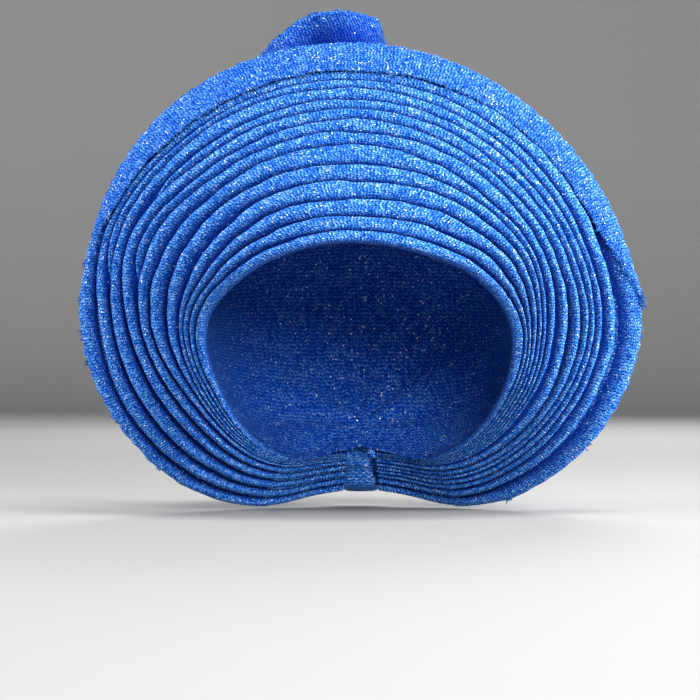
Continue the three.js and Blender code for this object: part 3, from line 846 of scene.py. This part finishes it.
def clear_of_knot(p):
    """Moves points to the sides of the knot where they would lie inside it."""
    level = (p[..., 2] - KNOT.z) / KNOT.half_height
    girth = np.where(np.abs(level) < KNOT.tallest, np.maximum(knot_girth(level), KNOT.least_girth), 0)
    deep = (p[..., 1] - KNOT.y) / (KNOT.half_depth * girth + KNOT.clear)
    least = (KNOT.half_width * girth + KNOT.clear) * np.sqrt(np.maximum(1 - deep * deep, 0))
    p[..., 0] = np.where(np.abs(p[..., 0]) < least, np.sign(p[..., 0]) * least, p[..., 0])
    return p


def gather_rings(fan):
    """The pleats' ends, drawn towards the knot: rings clear of bonnet and knot, rings before that, painted
    light.
    """
    r, h = [], []
    for i in range(LAST + 1):
        inner, width = fan.crease[:, [i]], fan.width[:, [i]]
        deep = np.maximum(-fan.drop[:, [i]] - GATHER.groove, -DEEPEST_TUCK) if i else -fan.drop[:, :1]
        r += [inner + step.place * width for step in GATHER_STEPS]
        h += [deep * (1 - step.height) - GATHER.sink for step in GATHER_STEPS]
    back_r, back_h, _, back_light = back_line(fan, crown_meeting(fan) - GATHER.lean)
    r = np.hstack([*r, back_r[:, ::-1]])
    h = np.hstack([*h, back_h[:, ::-1]])
    free = on_fan(fan, r, h)
    deep = crown_set_back(fan)
    beside_crown = ease(-h, deep - GATHER.near, deep - GATHER.beside)[..., None]
    rings = clear_of_knot(mix(free, clear_of_crown(free, CROWN_ROOM), beside_crown))
    front_light = np.tile([step.light for step in GATHER_STEPS], LAST + 1)[None, :]
    return rings, free, np.hstack([front_light, back_light[:, ::-1]])


def dress_gathers():
    for k, (node, side) in enumerate([("nape_gather_left", -1), ("nape_gather_right", 1)]):
        fan = fan_at(side * np.linspace(FAN_END - GATHER.lap, GATHER.end, GATHER.rows))
        rings, free, light = gather_rings(fan)
        dress(node, rings, WEAVES.gathers + k, light, woven_on=free)


def dress_knot():
    level = np.linspace(-KNOT.top, KNOT.top, KNOT.rows)[:, None]
    turn = np.linspace(0, 2 * np.pi, KNOT.columns, endpoint=False)[None, :]
    up, around, start = KNOT.wound_waves
    wound = KNOT.wound * np.abs(np.sin(up * level + around * np.sin(turn + start))) - KNOT.wound_in
    up, around, start = KNOT.crease_waves
    crease = KNOT.crease * np.sin(up * level + around * np.sin(turn) + start)
    size = knot_girth(level) * (1 + (wound + crease) * (1 - level**4))
    x = KNOT.half_width * size * np.cos(turn)
    y = KNOT.y + KNOT.half_depth * size * np.sin(turn)
    rings = stack(x, y, KNOT.z + KNOT.half_height * level)
    dress("knot", rings, WEAVES.knot, rounded=True)


# The loose end

tail_line = smooth(np.arange(len(TAIL_PLACES)), TAIL_PLACES)
tail_edge = line_through(TAIL_EDGE)


def tail_folds(u, row):
    """The folds that run up the loose end from the knot: 1 along a ridge, less in a crease."""
    fade = ease(row, *TAIL.fold_in) * (1 - ease(row, *TAIL.fold_out))
    broad, narrow = ridges(u, row, TAIL.fold_waves)
    return 1 - fade * (1 - np.minimum(broad + TAIL.narrow_share * narrow, 1))


def tail_point(u, row):
    """Points of the loose end: u across it from -1 to 1, row up its length as a place in its table."""
    last = len(TAIL_PLACES) - 1
    held = np.clip(row, 0, last)
    x, y, z, half, bow, deepest = np.moveaxis(tail_line(held), -1, 0)
    below = np.minimum(row, 0)
    y = y + below * (TAIL_PLACES[1].y - TAIL_PLACES[0].y)
    z = z + below * (TAIL_PLACES[1].z - TAIL_PLACES[0].z)
    uneven = waver(TAIL.uneven_run * row, SEEDS.tail_side, SURFACE_WAVER) * TAIL.uneven
    half = half + uneven * ease(row, *TAIL.uneven_in) * (1 - ease(row, *TAIL.uneven_out))
    ahead = tail_line(np.minimum(held + TAIL.step, last))
    behind = tail_line(np.maximum(held - TAIL.step, 0))
    out_y = ahead[..., 2] - behind[..., 2]
    out_z = (behind[..., 1] - ahead[..., 1]) * ease(row, *TAIL.turn_out)
    n = np.hypot(out_y, out_z)
    ripple = TAIL.ripple * np.sin(TAIL.ripple_across * u + TAIL.ripple_along * row)
    bend = -bow * (u - deepest) ** 2 + ripple * ease(row, *TAIL.ripple_in)
    bend = bend + TAIL.fold * (tail_folds(u, row) - 1)
    height = tail_edge(u)[..., 0] + waver(u * TAIL.edge_run, SEEDS.tail_edge, RAW_EDGE_WAVER)
    above = np.maximum(row - last, 0)
    y = y + out_y / n * bend - above * TAIL.lean * (1 - u * u)
    z = z + out_z / n * bend + above * (height - z)
    return clear_of_crown(stack(x + u * half, y, z), TAIL.wall / 2 + TAIL.room)


def tail_light(u, row):
    """How open to light the loose end is, on its front and on its back, as painted shade in its creases,
    front and hollow.
    """
    back = PAINTED_LIGHT.plain - TAIL.crease_dark * (1 - tail_folds(u, row))
    at_rim = ease(row, *TAIL.hollow_in) * (1 - ease(row, *TAIL.hollow_out))
    hollow = np.exp(-((u - TAIL.hollow_at) / TAIL.hollow_half) ** 2) * at_rim
    front = back - TAIL.front_dark * ease(row, *TAIL.front) - TAIL.hollow_dark * hollow
    return front, back


def dress_tail():
    row = np.linspace(TAIL.start, len(TAIL_PLACES), TAIL.rows)[:, None]
    u = np.linspace(-1, 1, TAIL.columns)[None, :]
    p = tail_point(u, row)
    across = tail_point(u + TAIL.normal_step, row) - tail_point(u - TAIL.normal_step, row)
    up = tail_point(u, row + TAIL.normal_step) - tail_point(u, row - TAIL.normal_step)
    normal = np.cross(across, up)
    normal /= norm(normal, axis=-1, keepdims=True)
    half = TAIL.wall / 2 * normal
    rings = np.hstack([p + half, (p - half)[:, ::-1]])
    weave = weave_over(rings, WEAVES.tail)
    weave[..., [0, 1]] = weave[..., [1, 0]]
    front, back = tail_light(u, row)
    weave[..., 2] = np.hstack([front, back[:, ::-1]])
    piece = stand_for("tail", rings, weave)
    draw = np.random.default_rng(SEEDS.tail)
    at = draw.integers(0, u.shape[1], TAIL.threads)
    lengths = draw.uniform(*TAIL.lengths, TAIL.threads)
    threads = fray("tail_threads", p[-1, at], p[-1, at] - p[-4, at], lengths, SEEDS.tail + 1)


# Frayed threads

def fray(name, roots, ways, lengths, seed):
    """Loose threads as one piece: each leaves its root along its way and curls as it thins."""
    draw = np.random.default_rng(seed)
    sides = THREAD.sides
    turns = np.linspace(0, 2 * np.pi, sides, endpoint=False)
    points, faces, weave = [], [], []
    for root, way, length in zip(roots, ways, lengths):
        way = way / norm(way) + THREAD.stray * draw.normal(size=3)
        curl = draw.normal(size=3) * THREAD.curl
        one = np.cross(way, THREAD.across)
        one /= norm(one)
        two = np.cross(way, one) / norm(way)
        base = len(points) * sides
        for step in np.linspace(0, 1, THREAD.steps):
            middle = root + length * (way * (step - THREAD.rooted) + curl * step * step)
            radius = THREAD.radius * (1 - THREAD.thins * step * step)
            points.append(middle + radius * (np.cos(turns)[:, None] * one + np.sin(turns)[:, None] * two))
            along = THREAD.weave_at + 9 * base + 2 * turns
            weave.append(stack(along, length * step, PAINTED_LIGHT.thread))
        faces += (np.vstack(skin(THREAD.steps, sides)) + base).tolist()
    return cloth_piece(name, np.vstack(points) * MM, faces, np.vstack(weave))


# The materials

class Graph:
    """Adds shader nodes to one material and links them by short calls."""

    def __init__(self, name):
        self.material = bpy.data.materials.new(name)
        self.material.use_nodes = True
        self.tree = self.material.node_tree
        self.shader = self.tree.nodes["Principled BSDF"]

    def put(self, node, socket, value):
        if isinstance(value, bpy.types.NodeSocket):
            self.tree.links.new(value, node.inputs[socket])
        elif value is not None:
            node.inputs[socket].default_value = value

    def add(self, kind, settings=None, **inputs):
        node = self.tree.nodes.new("ShaderNode" + kind)
        for key, value in (settings or {}).items():
            setattr(node, key, value)
        for key, value in inputs.items():
            self.put(node, key, value)
        return node

    def math(self, operation, a, b=None):
        node = self.add("Math", {"operation": operation})
        self.put(node, 0, a)
        self.put(node, 1, b)
        return node.outputs[0]

    def times(self, a, b):
        return self.math("MULTIPLY", a, b)

    def plus(self, first, *others):
        for other in others:
            first = self.math("ADD", first, other)
        return first

    def wave(self, turns):
        return self.math("SINE", self.times(turns, 2 * math.pi))

    def about_zero(self, value, amount):
        return self.times(self.math("SUBTRACT", value, 0.5), amount)

    def steps(self, value, size):
        return self.math("FLOOR", self.math("DIVIDE", value, size))

    def scatter(self, x, y):
        """A number of its own for each whole x and y, the same in every run."""
        both = self.add("CombineXYZ", X=x, Y=y).outputs[0]
        return self.add("TexWhiteNoise", {"noise_dimensions": "2D"}, Vector=both).outputs["Value"]

    def noise(self, vector, scale, detail=2.0):
        return self.add("TexNoise", Vector=vector, Scale=scale, Detail=detail).outputs["Fac"]

    def ramp(self, value, stops):
        node = self.add("ValToRGB", Fac=value)
        bar = node.color_ramp.elements
        while len(bar) < len(stops):
            bar.new(1.0)
        for element, (at, colour) in zip(bar, stops):
            element.position = at
            element.color = (*colour, 1.0)
        return node.outputs["Color"]

    def blend(self, share, a, b):
        node = self.add("Mix", {"data_type": "RGBA"})
        for socket, value in ((0, share), (6, a), (7, b)):
            self.put(node, socket, value)
        return node.outputs[2]


def cloth_material():
    """Ribs knotted stitch by stitch across the pleats, metallic threads with partly painted glints, and
    painted shade.
    """
    g = Graph("ribbed_glitter_cloth")
    weave = g.add("Attribute", {"attribute_name": "weave"}).outputs["Vector"]
    split = g.add("SeparateXYZ", Vector=weave).outputs
    along, across, light = split[0], split[1], split[2]

    drift = g.about_zero(g.noise(weave, DRIFT.scale), DRIFT.amount)
    slant = g.times(g.math("PINGPONG", across, CHEVRON), DRIFT.slant)
    place_along = g.plus(along, drift, slant)
    turns = g.math("DIVIDE", place_along, RIB)
    row = g.math("FLOOR", turns)
    start = g.add("TexWhiteNoise", {"noise_dimensions": "1D"}, W=row).outputs["Value"]
    beads = g.plus(g.math("DIVIDE", across, BEAD), start)
    slanted = g.math("DIVIDE", across, DRIFT.twill_beads * BEAD)
    twill = g.wave(g.plus(g.math("DIVIDE", place_along, TWILL), slanted))
    stitch = g.scatter(row, g.math("FLOOR", beads))
    fleck = g.scatter(g.steps(along, FLECK), g.steps(across, FLECK))
    mottle = g.noise(weave, DRIFT.mottle_scale, 3.0)

    stitch_tone = g.about_zero(stitch, TONE.stitch)
    fleck_tone = g.about_zero(fleck, TONE.fleck)
    mottle_tone = g.about_zero(mottle, TONE.mottle)
    rib_tone = g.times(g.wave(turns), TONE.rib)
    bead_tone = g.times(g.wave(beads), TONE.bead)
    thread = g.plus(rib_tone, bead_tone, g.times(twill, TONE.twill))
    tone = g.plus(thread, stitch_tone, fleck_tone, mottle_tone, TONE.middle)
    # Painted shade: where the light level is low, in grooves and creases, the blue goes towards a dark blue.
    painted_shade_range = g.add("MapRange", {"interpolation_type": "SMOOTHSTEP"}, Value=light)
    g.put(painted_shade_range, "From Max", PAINTED_SHADE.open_from)
    g.put(painted_shade_range, "To Min", PAINTED_SHADE.least)
    painted_light_share = painted_shade_range.outputs["Result"]
    shaded_blue = g.blend(painted_light_share, PAINTED_SHADE_BLUE, g.ramp(tone, BLUES))

    # Glints: metallic, smoother threads whose sparkle is also painted as pale dots in the base colour, more
    # of them where the painted light is high.
    spots = g.add("TexVoronoi", {"voronoi_dimensions": "2D"}, Vector=weave, Scale=1 / GLITTER)
    chance = g.add("SeparateColor", Color=spots.outputs["Color"]).outputs
    often = g.plus(g.times(painted_light_share, GLINT.open), g.times(mottle, GLINT.mottle))
    picked = g.math("GREATER_THAN", g.plus(chance[0], often), GLINT.over)
    dot = g.math("LESS_THAN", spots.outputs["Distance"], GLINT.size)
    glint = g.times(picked, dot)

    shader = g.shader
    g.put(shader, "Base Color", g.blend(g.times(glint, GLINT.colour), shaded_blue, g.ramp(chance[1], GLINTS)))
    g.put(shader, "Metallic", g.times(glint, GLINT.metal))
    rough = g.plus(SURFACE.rough, g.times(stitch, SURFACE.stitch_rough))
    g.put(shader, "Roughness", g.math("SUBTRACT", rough, g.times(glint, GLINT.polish)))
    for socket, value in UNIFORM.items():
        g.put(shader, socket, value)
    fleck_height = g.times(fleck_tone, SURFACE.fleck_height)
    height = g.plus(g.times(thread, SURFACE.thread_height), stitch_tone, fleck_height)
    bump = g.add("Bump", Height=height, Strength=SURFACE.bump, Distance=SURFACE.bump_distance)
    g.put(shader, "Normal", bump.outputs["Normal"])
    return g.material


def floor_material():
    g = Graph("pale_floor")
    at = g.add("TexCoord").outputs["Object"]
    spread = g.about_zero(g.noise(at, 3.0, 4.0), 0.08)
    far = g.add("VectorMath", {"operation": "LENGTH"}, Vector=at).outputs["Value"]
    near_to_far = g.plus(g.math("DIVIDE", far, FLOOR.reach), spread)
    g.put(g.shader, "Base Color", g.ramp(near_to_far, FLOOR_GREYS))
    g.put(g.shader, "Roughness", 0.9)
    return g.material


# The stage

def add_floor():
    """A pale floor that curves up into a wall all round, so every view has the same ground."""
    turn = np.linspace(0, 2 * np.pi, 96, endpoint=False)
    bend = np.radians(np.linspace(0, 90, 14))
    profile = [(r, 0.0) for r in FLOOR.rings]
    profile += [(FLOOR.flat + FLOOR.curve * math.sin(b), FLOOR.curve * (1 - math.cos(b))) for b in bend]
    profile += [(FLOOR.flat + FLOOR.curve, FLOOR.curve + FLOOR.wall)]
    r, z = (np.array(column)[:, None] for column in zip(*profile))
    points = stack(r * np.cos(turn), r * np.sin(turn), z + FLOOR_Z)
    inwards = skin(len(profile), len(turn))[0][:, [0, 3, 2, 1]]
    faces = [list(range(len(turn)))] + inwards.tolist()
    link_mesh("floor", points.reshape(-1, 3) * MM, faces, floor_material())


def aim(thing, at, target):
    """Places a light or the camera and turns it towards a point, both in millimetres."""
    thing.location = [value * MM for value in at]
    way = np.array(target, float) - np.array(at, float)
    tilt = math.atan2(math.hypot(way[0], way[1]), -way[2])
    thing.rotation_euler = (tilt, 0.0, math.atan2(way[1], way[0]) - math.pi / 2)


def add_lights():
    for row in LAMPS:
        lamp = bpy.data.lights.new(row.name, "AREA")
        lamp.size = row.size * MM
        lamp.energy = row.watts
        light = link(row.name, lamp)
        light.visible_camera = False
        aim(light, row.at, LAMPS_AIM)
    world = bpy.data.worlds.new("soft_room")
    world.use_nodes = True
    sky = world.node_tree.nodes["Background"]
    sky.inputs["Color"].default_value = SKY.colour
    sky.inputs["Strength"].default_value = SKY.strength
    scene.world = world


def add_camera():
    lens = bpy.data.cameras.new("camera")
    lens.lens = LENS
    lens.sensor_width = SENSOR
    camera = link("camera", lens)
    aim(camera, CAMERA_AT, (CAMERA_AT[0], 0.0, CAMERA_AT[2]))
    scene.camera = camera
    scene.view_settings.view_transform = "Standard"


add_camera()
add_floor()
add_lights()
cloth = cloth_material()
dress_pleats()
dress_crown()
dress_fan_back()
dress_cuff()
dress_gathers()
dress_knot()
dress_tail()
